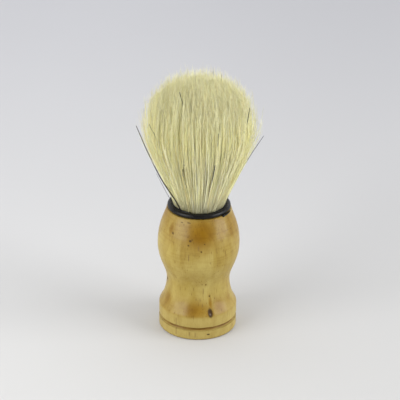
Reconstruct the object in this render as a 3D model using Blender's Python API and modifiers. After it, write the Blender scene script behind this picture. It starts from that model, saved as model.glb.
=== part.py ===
"""Shaving brush: a turned wooden handle with a glued-in bristle knot and a moulded ring collar.

Metres, +Z up. The origin is the centre of the handle's flat underside, and every piece is
turned about the Z axis. The knot's roots are tied, cast into a resin plug and glued into a
blind socket in the handle's top, and the collar's sleeve lines the mouth of that socket.
"""

import math

import bmesh
import bpy
from mathutils import Vector
from mathutils.geometry import interpolate_bezier

MM = 0.001
GAP = 0.3 * MM  # left between neighbouring pieces

# Handle, outside. A reach is how far a Bezier handle goes straight up or down from its point,
# and a slant is a Bezier handle's offset from the end of a curve, outwards and up.
BASE_RADIUS = 15.15 * MM
BASE_HEIGHT = 9.4 * MM
BASE_EDGE_RADIUS = 0.8 * MM
GROOVE_HEIGHT = 4.75 * MM
GROOVE_HALF_WIDTH = 0.85 * MM
GROOVE_DEPTH = 0.9 * MM
BASE_REACH_UP = 0.75 * MM
SHOULDER_RADIUS = 14.6 * MM
SHOULDER_HEIGHT = 11.15 * MM
SHOULDER_SLANT_DOWN = (0.42 * MM, -0.72 * MM)
SHOULDER_SLANT_UP = (-1.85 * MM, 2.95 * MM)
WAIST_RADIUS = 12.25 * MM
WAIST_HEIGHT = 20.3 * MM
WAIST_REACH_DOWN = 2.2 * MM
WAIST_REACH_UP = 5.2 * MM
BELLY_RADIUS = 15.85 * MM
BELLY_HEIGHT = 35.6 * MM
BELLY_REACH_DOWN = 7.2 * MM
BELLY_REACH_UP = 7.6 * MM
RIM_RADIUS = 12.5 * MM
RIM_EDGE_RADIUS = 0.4 * MM
RIM_SLANT = (0.9 * MM, -3.4 * MM)
HANDLE_HEIGHT = 50.6 * MM

# Socket in the handle's top, and the collar that lines its mouth
SOCKET_RADIUS = 11.0 * MM
SOCKET_DEPTH = 15.8 * MM
SLEEVE_WALL = 1.1 * MM
SLEEVE_LENGTH = 12.2 * MM
BEAD_RADIUS = 12.2 * MM  # the collar's rolled rim, at its widest
BEAD_INNER_RADIUS = 10.5 * MM
BEAD_HEIGHT = 1.7 * MM

# Bedding of the knot
GLUE_FLOOR = 0.7 * MM
GLUE_RIM_HEIGHT = 3.0 * MM
PLUG_HEIGHT = 3.8 * MM
PLUG_RADIUS = 9.3 * MM
PLUG_CHAMFER = 0.5 * MM
THREAD_DIAMETER = 0.5 * MM
THREAD_PITCH = 0.8 * MM
THREAD_TURNS = 5
THREAD_RISE = 0.8 * MM  # above the bundle's lower end

# Knot, outside
TIE_LENGTH_OVER = 1.0 * MM  # the tied waist goes this far past the thread
SHOULDER_RISE = 3.0 * MM  # and the bundle is full again this far past it
MOUTH_DROP = 0.2 * MM  # the fan starts this far below the collar's bead
MOUTH_SLANT = (4.4 * MM, 12.5 * MM)
BLOOM_REACH_DOWN = 7.0 * MM
BLOOM_RADIUS = 21.6 * MM
BLOOM_HEIGHT = 84.5 * MM
BRUSH_HEIGHT = 105.0 * MM

# Fineness of the turned surfaces
TURN_STEPS = 64
KNOT_STEPS = 48
CURVE_POINTS = 9
THREAD_POINTS_PER_TURN = 20
SHARP_ANGLE = math.radians(35)
WELD_DISTANCE = 0.01 * MM

# Places that follow from the sizes above
SOCKET_FLOOR = HANDLE_HEIGHT - SOCKET_DEPTH
SLEEVE_RADIUS = SOCKET_RADIUS - GAP
SLEEVE_BORE = SLEEVE_RADIUS - SLEEVE_WALL
BEAD_BOTTOM = HANDLE_HEIGHT + GAP
SLEEVE_BOTTOM = BEAD_BOTTOM - SLEEVE_LENGTH
GLUE_BOTTOM = SOCKET_FLOOR + GAP
PLUG_BOTTOM = GLUE_BOTTOM + GLUE_FLOOR + GAP
PLUG_TOP = PLUG_BOTTOM + PLUG_HEIGHT
ROOT_BOTTOM = PLUG_TOP + GAP
ROOT_RADIUS = SLEEVE_BORE - GAP
TIED_RADIUS = ROOT_RADIUS - THREAD_DIAMETER - GAP
THREAD_BOTTOM = ROOT_BOTTOM + THREAD_RISE
THREAD_TOP = THREAD_BOTTOM + THREAD_TURNS * THREAD_PITCH


def clear_scene():
    for obj in list(bpy.data.objects):
        bpy.data.objects.remove(obj, do_unlink=True)


def material(name, colour, roughness):
    made = bpy.data.materials.new(name)
    made.use_nodes = True
    shader = made.node_tree.nodes["Principled BSDF"]
    shader.inputs["Base Color"].default_value = (*colour, 1.0)
    shader.inputs["Roughness"].default_value = roughness
    shader.inputs["Metallic"].default_value = 0.0
    made.diffuse_color = (*colour, 1.0)
    return made


def arc(centre, radii, start, end, steps):
    """Points of (radius, height) on an ellipse's arc, from one angle in degrees to another."""
    found = []
    for i in range(steps + 1):
        angle = math.radians(start + (end - start) * i / steps)
        radius = centre[0] + radii[0] * math.cos(angle)
        found.append((radius, centre[1] + radii[1] * math.sin(angle)))
    return found


def bezier(start, start_handle, end_handle, end, count=CURVE_POINTS):
    """Points on one Bezier stretch. The handles are offsets from the ends they belong to."""
    first, last = Vector(start), Vector(end)
    knots = (first, first + Vector(start_handle), last + Vector(end_handle), last)
    points = interpolate_bezier(*[knot.to_3d() for knot in knots], count)
    return [(point.x, point.y) for point in points]


def evaluated_mesh(obj):
    """A new mesh of what an object's modifiers, or its curve, make."""
    bpy.context.view_layer.update()
    graph = bpy.context.evaluated_depsgraph_get()
    return bpy.data.meshes.new_from_object(obj.evaluated_get(graph))


def finish_mesh(mesh, finish):
    """Smooth shading with sharp corners, and the piece's one material."""
    mesh.shade_smooth()
    mesh.set_sharp_from_angle(angle=SHARP_ANGLE)
    mesh.materials.clear()
    mesh.materials.append(finish)


def turn(name, outline, finish, collection, steps=TURN_STEPS, closed=False):
    """Turn an outline of (radius, height) points about Z.

    The outline runs down its outer side. An open one starts and ends on the axis.
    """
    edges = [(i, i + 1) for i in range(len(outline) - 1)]
    if closed:
        edges.append((len(outline) - 1, 0))
    profile = bpy.data.meshes.new(name)
    profile.from_pydata([(radius, 0.0, height) for radius, height in outline], edges, [])
    obj = bpy.data.objects.new(name, profile)
    collection.objects.link(obj)
    screw = obj.modifiers.new("turning", "SCREW")
    screw.axis = "Z"
    screw.steps = steps
    screw.render_steps = steps
    screw.use_merge_vertices = True
    screw.merge_threshold = WELD_DISTANCE
    obj.data = evaluated_mesh(obj)
    obj.modifiers.clear()
    finish_mesh(obj.data, finish)
    return obj


def make_handle(collection):
    """Turned wood: a flared base with a scored groove, a waist, a belly and a blind socket."""
    rim = (RIM_RADIUS, HANDLE_HEIGHT - RIM_EDGE_RADIUS)
    rim_centre = (RIM_RADIUS - RIM_EDGE_RADIUS, HANDLE_HEIGHT - RIM_EDGE_RADIUS)
    belly = (BELLY_RADIUS, BELLY_HEIGHT)
    waist = (WAIST_RADIUS, WAIST_HEIGHT)
    shoulder = (SHOULDER_RADIUS, SHOULDER_HEIGHT)
    base = (BASE_RADIUS, BASE_HEIGHT)
    groove = (BASE_RADIUS, GROOVE_HEIGHT)
    edge_centre = (BASE_RADIUS - BASE_EDGE_RADIUS, BASE_EDGE_RADIUS)
    outline = [(0.0, SOCKET_FLOOR), (SOCKET_RADIUS, SOCKET_FLOOR), (SOCKET_RADIUS, HANDLE_HEIGHT)]
    outline += arc(rim_centre, (RIM_EDGE_RADIUS, RIM_EDGE_RADIUS), 90, 0, 3)
    outline += bezier(rim, RIM_SLANT, (0.0, BELLY_REACH_UP), belly)[1:]
    outline += bezier(belly, (0.0, -BELLY_REACH_DOWN), (0.0, WAIST_REACH_UP), waist)[1:]
    outline += bezier(waist, (0.0, -WAIST_REACH_DOWN), SHOULDER_SLANT_UP, shoulder)[1:]
    outline += bezier(shoulder, SHOULDER_SLANT_DOWN, (0.0, BASE_REACH_UP), base, 4)[1:]
    outline += arc(groove, (GROOVE_DEPTH, GROOVE_HALF_WIDTH), 90, 270, 6)
    outline += arc(edge_centre, (BASE_EDGE_RADIUS, BASE_EDGE_RADIUS), 0, -90, 3)
    outline.append((0.0, 0.0))
    wood = material("lacquered_wood", (0.43, 0.30, 0.09), 0.28)
    return turn("handle", outline, wood, collection)


def make_collar(collection):
    """Moulded black collar: a thin sleeve under a rolled rim that sits on the handle's mouth."""
    centre = ((BEAD_INNER_RADIUS + BEAD_RADIUS) / 2, BEAD_BOTTOM + BEAD_HEIGHT / 2)
    bead = ((BEAD_RADIUS - BEAD_INNER_RADIUS) / 2, BEAD_HEIGHT / 2)
    outline = arc(centre, bead, 90, -70, 9)
    outline += [(SLEEVE_RADIUS, BEAD_BOTTOM), (SLEEVE_RADIUS, SLEEVE_BOTTOM)]
    outline += [(SLEEVE_BORE, SLEEVE_BOTTOM), (SLEEVE_BORE, BEAD_BOTTOM)]
    outline += arc(centre, bead, 180, 90, 5)[:-1]
    black = material("collar_black", (0.012, 0.011, 0.011), 0.35)
    return turn("collar", outline, black, collection, closed=True)


def make_socket_glue(collection):
    """Adhesive that beds the knot: a disc on the socket's floor with a squeezed-up rim."""
    inner_radius = PLUG_RADIUS + GAP
    floor_top = GLUE_BOTTOM + GLUE_FLOOR
    rim_top = GLUE_BOTTOM + GLUE_RIM_HEIGHT
    outline = [(0.0, floor_top), (inner_radius, floor_top), (inner_radius, rim_top)]
    outline += [(SLEEVE_RADIUS, rim_top), (SLEEVE_RADIUS, GLUE_BOTTOM), (0.0, GLUE_BOTTOM)]
    glue = material("adhesive", (0.62, 0.52, 0.30), 0.4)
    return turn("socket_glue", outline, glue, collection, steps=KNOT_STEPS)


def make_root_plug(collection):
    """Cast resin disc that holds the bristle roots, with a chamfered lower edge."""
    outline = [(0.0, PLUG_TOP), (PLUG_RADIUS, PLUG_TOP), (PLUG_RADIUS, PLUG_BOTTOM + PLUG_CHAMFER)]
    outline += [(PLUG_RADIUS - PLUG_CHAMFER, PLUG_BOTTOM), (0.0, PLUG_BOTTOM)]
    resin = material("resin", (0.45, 0.30, 0.12), 0.25)
    return turn("root_plug", outline, resin, collection, steps=KNOT_STEPS)


def make_bristle_knot(collection):
    """The bundle's outer form: tied at the root, fanning out of the collar to a round dome."""
    bloom = (BLOOM_RADIUS, BLOOM_HEIGHT)
    mouth = (ROOT_RADIUS, BEAD_BOTTOM - MOUTH_DROP)
    dome = arc((0.0, BLOOM_HEIGHT), (BLOOM_RADIUS, BRUSH_HEIGHT - BLOOM_HEIGHT), 90, 0, 10)
    outline = [(0.0, BRUSH_HEIGHT)] + dome[1:]
    outline += bezier(bloom, (0.0, -BLOOM_REACH_DOWN), MOUTH_SLANT, mouth)[1:]
    outline += [(ROOT_RADIUS, THREAD_TOP + SHOULDER_RISE)]
    outline += [(TIED_RADIUS, THREAD_TOP + TIE_LENGTH_OVER)]
    outline += [(TIED_RADIUS, ROOT_BOTTOM), (0.0, ROOT_BOTTOM)]
    bristle = material("bristle", (0.60, 0.565, 0.30), 0.75)
    return turn("bristle_knot", outline, bristle, collection, steps=KNOT_STEPS)


def make_binding_thread(collection):
    """Thread wound round the tied waist of the roots: one coil of a few turns."""
    radius = ROOT_RADIUS - THREAD_DIAMETER / 2
    count = THREAD_TURNS * THREAD_POINTS_PER_TURN + 1
    curve = bpy.data.curves.new("thread_guide", "CURVE")
    curve.dimensions = "3D"
    curve.bevel_depth = THREAD_DIAMETER / 2
    curve.bevel_resolution = 2
    curve.use_fill_caps = True
    spline = curve.splines.new("POLY")
    spline.points.add(count - 1)
    for i in range(count):
        turns = i / THREAD_POINTS_PER_TURN
        angle = 2 * math.pi * turns
        height = THREAD_BOTTOM + THREAD_PITCH * turns
        spline.points[i].co = (radius * math.cos(angle), radius * math.sin(angle), height, 1.0)
    guide = bpy.data.objects.new("thread_guide", curve)
    collection.objects.link(guide)
    mesh = evaluated_mesh(guide)
    bpy.data.objects.remove(guide, do_unlink=True)
    weld(mesh)
    finish_mesh(mesh, material("thread", (0.55, 0.50, 0.40), 0.8))
    coil = bpy.data.objects.new("binding_thread", mesh)
    collection.objects.link(coil)
    return coil


def weld(mesh):
    """Join a bevelled curve's loose end caps to its wall."""
    work = bmesh.new()
    work.from_mesh(mesh)
    bmesh.ops.remove_doubles(work, verts=work.verts, dist=WELD_DISTANCE)
    work.to_mesh(mesh)
    work.free()


def main():
    clear_scene()
    brush = bpy.data.collections.new("shaving_brush")
    bpy.context.scene.collection.children.link(brush)
    make_handle(brush)
    make_collar(brush)
    make_socket_glue(brush)
    make_root_plug(brush)
    make_binding_thread(brush)
    make_bristle_knot(brush)


main()
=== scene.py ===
"""Looks of the shaving brush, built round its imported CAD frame. Metres, +Z up.

The handle and the collar are turned again from the CAD nodes' own outlines, finer and with the
marks of real wood. The knot is made of separate tapered bristles that follow the CAD bundle's
outline, with loose tips and a few strays just past it. An azimuth is in degrees round the brush,
0 at the front (-Y) and 90 at its right (+X).
"""

import math

import bmesh
import bpy
import numpy as np
from mathutils import Matrix, Vector


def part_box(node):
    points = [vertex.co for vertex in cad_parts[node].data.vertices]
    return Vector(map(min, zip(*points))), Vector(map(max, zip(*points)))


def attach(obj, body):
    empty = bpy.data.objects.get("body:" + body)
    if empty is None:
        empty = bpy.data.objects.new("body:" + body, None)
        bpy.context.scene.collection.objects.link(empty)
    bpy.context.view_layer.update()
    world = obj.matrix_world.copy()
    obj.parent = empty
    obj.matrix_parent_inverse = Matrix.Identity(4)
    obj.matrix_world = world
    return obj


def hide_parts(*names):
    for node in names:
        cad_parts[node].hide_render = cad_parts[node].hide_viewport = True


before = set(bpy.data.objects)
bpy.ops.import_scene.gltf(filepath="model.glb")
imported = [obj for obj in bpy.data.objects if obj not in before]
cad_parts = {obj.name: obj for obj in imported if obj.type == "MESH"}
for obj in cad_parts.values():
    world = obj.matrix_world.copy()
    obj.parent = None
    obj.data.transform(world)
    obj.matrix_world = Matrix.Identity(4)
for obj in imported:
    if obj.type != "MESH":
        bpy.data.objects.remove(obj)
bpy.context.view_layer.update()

MM = 0.001
SEED = 7
GOLDEN_ANGLE = math.pi * (3.0 - math.sqrt(5.0))
BAKE_LAYER = "OFBake"  # the UV layer that carries baked colour
OUTLINE_MERGE = 0.02 * MM  # points of a CAD outline nearer than this are one
AXIS_WELD = 0.0005 * MM
CORNER_WELD = 0.002 * MM

# Camera
CAMERA_DISTANCE = 0.700
CAMERA_ELEVATION = 27.27
CAMERA_TARGET = (0.0, 0.0, 0.030)
CAMERA_PITCH_UP = 1.72  # the optical axis passes this far over the target
CAMERA_YAW_RIGHT = 0.030
CAMERA_ROLL = 0.8
CAMERA_LENS = 161.8


# ---------------------------------------------------------------- geometry helpers

def smoothstep(low, high, value):
    share = np.clip((value - low) / (high - low), 0.0, 1.0)
    return share * share * (3.0 - 2.0 * share)


def around(azimuth, radius, height):
    """A point of the brush from its azimuth in degrees, its radius and its height."""
    angle = np.radians(azimuth)
    return np.stack([radius * np.sin(angle), -radius * np.cos(angle), height + 0.0 * angle], -1)


def cad_outline(node):
    """Every (radius, height) of a turned CAD node's outline, lowest first."""
    points = np.array([v.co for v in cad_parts[node].data.vertices])
    pairs = np.stack([np.hypot(points[:, 0], points[:, 1]), points[:, 2]], -1)
    pairs = pairs[np.lexsort((pairs[:, 0], pairs[:, 1].round(5)))]
    kept = [pairs[0]]
    for pair in pairs[1:]:
        if all(np.abs(pair - other).max() > OUTLINE_MERGE for other in kept[-3:]):
            kept.append(pair)
    return np.array(kept)


def mesh_object(name, vertices, quads, triangles=()):
    """A smooth mesh object from arrays of vertices, quads and triangles."""
    quads = np.asarray(quads, np.int32).reshape(-1, 4)
    triangles = np.asarray(triangles, np.int32).reshape(-1, 3)
    corners = np.concatenate([quads.ravel(), triangles.ravel()])
    sizes = np.concatenate([np.full(len(quads), 4), np.full(len(triangles), 3)]).astype(np.int32)
    starts = np.concatenate([[0], np.cumsum(sizes)[:-1]]).astype(np.int32)
    mesh = bpy.data.meshes.new(name)
    mesh.vertices.add(len(vertices))
    mesh.vertices.foreach_set("co", np.asarray(vertices, np.float32).ravel())
    mesh.loops.add(len(corners))
    mesh.loops.foreach_set("vertex_index", corners)
    mesh.polygons.add(len(sizes))
    mesh.polygons.foreach_set("loop_start", starts)
    mesh.update(calc_edges=True)
    mesh.shade_smooth()
    obj = bpy.data.objects.new(name, mesh)
    bpy.context.scene.collection.objects.link(obj)
    return obj


def hermite(at, known, values):
    """Smooth interpolation through (known, values), known rising, as numpy.interp does straight."""
    slopes = np.gradient(values, known)
    index = np.clip(np.searchsorted(known, at) - 1, 0, len(known) - 2)
    gap = known[index + 1] - known[index]
    t = np.clip((at - known[index]) / gap, 0.0, 1.0)
    start = (2 * t**3 - 3 * t**2 + 1) * values[index] + (t**3 - 2 * t**2 + t) * gap * slopes[index]
    end = (-2 * t**3 + 3 * t**2) * values[index + 1] + (t**3 - t**2) * gap * slopes[index + 1]
    return start + end


def arc(centre, radii, start, end, steps):
    """Points of (radius, height) on an ellipse's arc, from one angle in degrees to another."""
    angles = np.radians(np.linspace(start, end, steps + 1))
    return np.stack([centre[0] + radii[0] * np.cos(angles), centre[1] + radii[1] * np.sin(angles)], -1)


def turned(name, outline, steps, closed, shape=None):
    """Turn an outline that runs down its outer side. An open one starts and ends on the axis.

    shape(azimuth, radius, height) may return changed radii and heights, to make the form less
    than perfectly round. The UV layer unrolls the surface: azimuth across, outline length up.
    """
    outline = np.asarray(outline)
    rows = len(outline)
    azimuth = np.linspace(-180.0, 180.0, steps, endpoint=False)
    grid_azimuth = np.broadcast_to(azimuth, (rows, steps))
    radius = np.repeat(outline[:, :1], steps, 1)
    height = np.repeat(outline[:, 1:], steps, 1)
    if shape is not None:
        radius, height = shape(grid_azimuth, radius, height)
    points = around(grid_azimuth, radius, height).reshape(-1, 3)
    row = np.arange(rows if closed else rows - 1)[:, None]
    column = np.arange(steps)[None, :]
    next_row, next_column = (row + 1) % rows, (column + 1) % steps
    quads = np.stack([row * steps + column, next_row * steps + column,
                      next_row * steps + next_column, row * steps + next_column], -1).reshape(-1, 4)
    obj = mesh_object(name, points, quads)
    step_lengths = np.linalg.norm(np.diff(outline, axis=0, append=outline[:1]), axis=1)
    if not closed:
        step_lengths = step_lengths[:-1]
    along = np.concatenate([[0.0], np.cumsum(step_lengths)]) / step_lengths.sum()
    turn = np.arange(steps + 1) / steps
    u = np.stack([turn[column], turn[column], turn[column + 1], turn[column + 1]], -1)
    v = np.stack([along[row], along[row + 1], along[row + 1], along[row]], -1)
    u, v = np.broadcast_arrays(u, v)
    unrolled = np.stack([u, v], -1).reshape(-1, 2)
    obj.data.uv_layers.new(name=BAKE_LAYER).data.foreach_set("uv", unrolled.astype(np.float32).ravel())
    if not closed:
        weld(obj.data)
    return obj


def weld(mesh):
    """Join the points that an open outline leaves on the axis, and drop the faces this flattens."""
    work = bmesh.new()
    work.from_mesh(mesh)
    bmesh.ops.remove_doubles(work, verts=work.verts, dist=AXIS_WELD)
    work.to_mesh(mesh)
    work.free()


def across(azimuth, centre, radius):
    """How far round the surface a point is from an azimuth, in metres."""
    return radius * np.radians((azimuth - centre + 180.0) % 360.0 - 180.0)


def ripple(azimuth, height, waves):
    """A smooth uneven field round the brush: waves are (times round, per metre up, phase, size)."""
    field = 0.0
    for times, rise, phase, size in waves:
        field = field + size * np.sin(times * np.radians(azimuth) + rise * height + phase)
    return field


# ---------------------------------------------------------------- handle

HANDLE_STEPS = 400
ROW_HEIGHT = 0.28 * MM
BASE_HEIGHT = 9.4 * MM
GROOVE_HEIGHT = 4.75 * MM
GROOVE_HALF_WIDTH = 0.85 * MM
GROOVE_DEPTH = 0.9 * MM
FOOT_EDGE = 0.8 * MM
RIM_EDGE = 0.4 * MM
CRACK_HALF_WIDTH = 0.16 * MM
CRACK_DEPTH = 0.10 * MM
PIT_DEPTH = 0.22 * MM
SPOT_DEPTH = 0.10 * MM
PIT_HALF_UP = 0.65 * MM  # marks that reach further up than this are pits
CRACK_TAPER = 0.8 * MM  # over which a split closes at either end
WORN_FROM, WORN_FULLY = 11.3 * MM, 12.0 * MM  # radii between which the outer skin's wear sets in
# Waves of the lathe and of the groove's chipped edges, as ripple takes them
LATHE_WAVES = (
    (2, 40, 0.4, 0.025 * MM),
    (3, -90, 2.0, 0.015 * MM),
    (1, 2600, 1.1, 0.006 * MM),
    (5, 410, 0.3, 0.006 * MM),
)
CHIP_WAVES = ((7, 900, 0.0, 0.05 * MM), (17, -700, 1.0, 0.04 * MM))
# Marks in the wood: azimuth, height, and half sizes across and up
EYE = (20.0, 11.25 * MM, 0.90 * MM, 1.60 * MM)
NICK = (-76.0, 20.8 * MM, 0.60 * MM, 0.75 * MM)
SPECK = (19.6, 10.8 * MM, 0.30 * MM)  # in the eye: azimuth, height and radius
SPOTS = (
    (-12.4, 42.9 * MM, 0.45 * MM, 0.35 * MM),
    (-9.5, 43.4 * MM, 0.25 * MM, 0.20 * MM),
    (-14.5, 41.1 * MM, 0.28 * MM, 0.25 * MM),
    (4.0, 38.9 * MM, 0.28 * MM, 0.28 * MM),
    (8.5, 41.8 * MM, 0.22 * MM, 0.22 * MM),
    (-42.5, 44.3 * MM, 0.30 * MM, 0.35 * MM),
    (-17.0, 49.3 * MM, 0.70 * MM, 0.12 * MM),
    (-30.0, 49.0 * MM, 0.50 * MM, 0.12 * MM),
    (21.2, 17.7 * MM, 0.25 * MM, 0.30 * MM),
    (13.9, 23.0 * MM, 0.18 * MM, 0.25 * MM),
    (16.5, 2.4 * MM, 0.60 * MM, 0.28 * MM),
    (141.0, 31.0 * MM, 0.40 * MM, 0.50 * MM),
    (-128.0, 13.5 * MM, 0.35 * MM, 0.60 * MM),
    (96.0, 40.5 * MM, 0.25 * MM, 0.40 * MM),
)
# Broad deeper-coloured patches: azimuth, height, half sizes across and up, and strength. Most are
# stains; the narrow two at -47 and 58 degrees are painted shade, dark gaps in the lacquer's reflection.
STAINS_AND_REFLECTION_GAPS = (
    (4.0, 45.5 * MM, 8.0 * MM, 6.5 * MM, 0.95),
    # painted shade: the dark gap in the lacquer's reflection left of the left sheen
    (-47.0, 45.5 * MM, 1.4 * MM, 3.0 * MM, 0.75),
    # painted shade: the dark gap in the lacquer's reflection right of the right sheen
    (58.0, 44.5 * MM, 1.8 * MM, 3.4 * MM, 0.75),
    (-3.0, 12.3 * MM, 6.5 * MM, 3.6 * MM, 0.85),
    (22.0, 14.8 * MM, 0.8 * MM, 2.8 * MM, 0.90),
    (19.5, 11.2 * MM, 2.2 * MM, 2.0 * MM, 0.95),
    (-62.0, 13.5 * MM, 3.0 * MM, 3.0 * MM, 0.65),
    (62.0, 13.5 * MM, 2.4 * MM, 2.6 * MM, 0.55),
    (38.0, 12.5 * MM, 3.6 * MM, 3.6 * MM, 0.80),
    (-8.0, 28.0 * MM, 5.0 * MM, 3.0 * MM, 0.20),
    (150.0, 42.0 * MM, 7.0 * MM, 7.0 * MM, 0.60),
    (-120.0, 13.5 * MM, 6.0 * MM, 3.0 * MM, 0.60),
    (100.0, 29.0 * MM, 4.0 * MM, 6.0 * MM, 0.40),
    (-95.0, 25.0 * MM, 4.5 * MM, 5.0 * MM, 0.35),
)
# Fine splits along the grain: azimuth, lower and upper height
CRACKS = (
    (-33.0, 1.0 * MM, 9.0 * MM),
    (-11.8, 1.2 * MM, 3.9 * MM),
    (-3.1, 0.9 * MM, 3.7 * MM),
    (-13.6, 34.2 * MM, 37.8 * MM),
    (-0.2, 38.8 * MM, 41.4 * MM),
    (9.6, 18.4 * MM, 21.6 * MM),
    (4.0, 15.3 * MM, 17.2 * MM),
    (8.0, 13.2 * MM, 15.2 * MM),
    (-3.0, 15.8 * MM, 17.4 * MM),
    (17.0, 33.0 * MM, 34.6 * MM),
    (64.0, 1.0 * MM, 3.4 * MM),
    (118.0, 4.9 * MM, 12.0 * MM),
    (-150.0, 26.0 * MM, 33.0 * MM),
    (171.0, 1.0 * MM, 8.0 * MM),
)


def handle_side():
    """The CAD handle's side from its base edge up to its rim, as rows of (radius, height), with
    the radius of its socket and the height of its top."""
    known = cad_outline("handle")
    top = known[-1, 1]
    socket = known[known[:, 1] == top, 0].min()
    outer = known[known[:, 0] > socket + 0.1 * MM]
    low_enough = outer[:, 1] < top - RIM_EDGE + 0.01 * MM
    return outer[(outer[:, 1] > BASE_HEIGHT - 0.01 * MM) & low_enough], socket, top


def handle_outline():
    """The whole outline down its outer side, with the socket in its top."""
    side, socket, top = handle_side()
    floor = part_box("socket_glue")[0].z - 0.3 * MM
    heights = np.arange(side[-1, 1], BASE_HEIGHT, -ROW_HEIGHT)
    radii = hermite(heights, side[:, 1], side[:, 0])
    base = side[0, 0]
    upper_band = np.arange(BASE_HEIGHT, GROOVE_HEIGHT + GROOVE_HALF_WIDTH, -ROW_HEIGHT)
    lower_band = np.arange(GROOVE_HEIGHT - GROOVE_HALF_WIDTH, FOOT_EDGE, -ROW_HEIGHT)[1:]
    underside = np.linspace(base - FOOT_EDGE, 0.0, 9)[1:]
    return np.concatenate([
        [(0.0, floor), (socket, floor), (socket, top)],
        arc((radii[0] - RIM_EDGE, top - RIM_EDGE), (RIM_EDGE, RIM_EDGE), 90, 8, 5),
        np.stack([radii, heights], -1),
        np.stack([np.full(len(upper_band), base), upper_band], -1),
        arc((base, GROOVE_HEIGHT), (GROOVE_DEPTH, GROOVE_HALF_WIDTH), 90, 270, 14),
        np.stack([np.full(len(lower_band), base), lower_band], -1),
        arc((base - FOOT_EDGE, FOOT_EDGE), (FOOT_EDGE, FOOT_EDGE), 0, -90, 7),
        np.stack([underside, np.zeros(8)], -1),
    ])


def crack_strength(azimuth, radius, height, centre, low, high):
    """How far into a split each point is: 1 on its line, 0 away from it and past its ends."""
    sideways = across(azimuth, centre, radius) / CRACK_HALF_WIDTH
    length = smoothstep(low, low + CRACK_TAPER, height) * smoothstep(high, high - CRACK_TAPER, height)
    return np.exp(-sideways**2) * length


def wear_handle(azimuth, radius, height):
    """Lathe ripple, dents and splits in the wood, as changes of radius."""
    skin = smoothstep(WORN_FROM, WORN_FULLY, radius) * smoothstep(0.0, 0.5 * MM, height)
    depth = ripple(azimuth, height, LATHE_WAVES)
    for centre, middle, half_across, half_up in (EYE, NICK) + SPOTS:
        sideways = across(azimuth, centre, radius) / half_across
        upwards = (height - middle) / half_up
        size = PIT_DEPTH if half_up > PIT_HALF_UP else SPOT_DEPTH
        depth = depth + size * np.exp(-(sideways**2 + upwards**2) * 1.5)
    for centre, low, high in CRACKS:
        depth = depth + CRACK_DEPTH * crack_strength(azimuth, radius, height, centre, low, high)
    chips = np.exp(-((height - GROOVE_HEIGHT) / (1.1 * GROOVE_HALF_WIDTH)) ** 4)
    depth = depth + chips * ripple(azimuth, height, CHIP_WAVES)
    return radius - depth * skin, height


def mark_handle(mesh):
    """A colour attribute for the wood: pits in red, splits in green, stains and the painted shade of
    two gaps in the lacquer's reflection in blue, and the pale speck in the eye as alpha."""
    points = np.empty(3 * len(mesh.vertices), np.float32)
    mesh.vertices.foreach_get("co", points)
    points = points.reshape(-1, 3)
    azimuth = np.degrees(np.arctan2(points[:, 0], -points[:, 1]))
    radius, height = np.hypot(points[:, 0], points[:, 1]), points[:, 2]
    marks = np.zeros((len(points), 4), np.float32)
    for centre, middle, half_across, half_up in (EYE, NICK) + SPOTS:
        sideways = across(azimuth, centre, radius) / half_across
        upwards = (height - middle) / half_up
        far = sideways**2 + upwards**2
        marks[:, 0] = np.maximum(marks[:, 0], smoothstep(1.7, 0.5, far))
        marks[:, 2] = np.maximum(marks[:, 2], 0.8 * np.exp(-0.22 * far))
    sideways, upwards = across(azimuth, SPECK[0], radius), height - SPECK[1]
    marks[:, 3] = np.exp(-(sideways**2 + upwards**2) / SPECK[2] ** 2)
    # stains, and two patches of painted shade where the lacquer's reflection has dark gaps
    for centre, middle, half_across, half_up, strength in STAINS_AND_REFLECTION_GAPS:
        far = (across(azimuth, centre, radius) / half_across) ** 2 + ((height - middle) / half_up) ** 2
        marks[:, 2] = np.maximum(marks[:, 2], strength * np.exp(-(far**1.3)))
    for centre, low, high in CRACKS:
        strength = crack_strength(azimuth, radius, height, centre, low, high)
        marks[:, 1] = np.maximum(marks[:, 1], strength)
    mesh.attributes.new("marks", "FLOAT_COLOR", "POINT").data.foreach_set("color", marks.ravel())


def make_handle(finish):
    handle = turned("turned_handle", handle_outline(), HANDLE_STEPS, False, wear_handle)
    handle.data.set_sharp_from_angle(angle=math.radians(50))
    mark_handle(handle.data)
    return dress(handle, finish, "handle")


def dress(obj, finish, node):
    """Give a piece its material and its place in the frame, and hide the CAD node that it stands for."""
    obj.data.materials.append(finish)
    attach(obj, "root")
    if node:
        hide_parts(node)
    return obj


# ---------------------------------------------------------------- collar

COLLAR_STEPS = 320
BEAD_INNER = 10.45 * MM
LIP_WIDTH = 0.7 * MM
LIP_HEIGHT = 0.55 * MM
LIP_DEPTH = 0.45 * MM  # of the lip's crown below the bead's
SLEEVE_ROWS = 12
BEAD_WAVES = ((2, 0, 0.7, 0.05 * MM), (5, 0, 1.9, 0.03 * MM), (11, 0, 0.2, 0.015 * MM))
# The smear: its ends round the brush, its thick end's half height, and the places of its ends
SMEAR_START, SMEAR_END = 46.0, 77.0
SMEAR_STEPS = 60
SMEAR_HALF_HEIGHT = 0.42 * MM
SMEAR_THICKNESS = 0.30 * MM
SMEAR_DROP = 0.02 * MM  # below the wood's top


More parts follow.
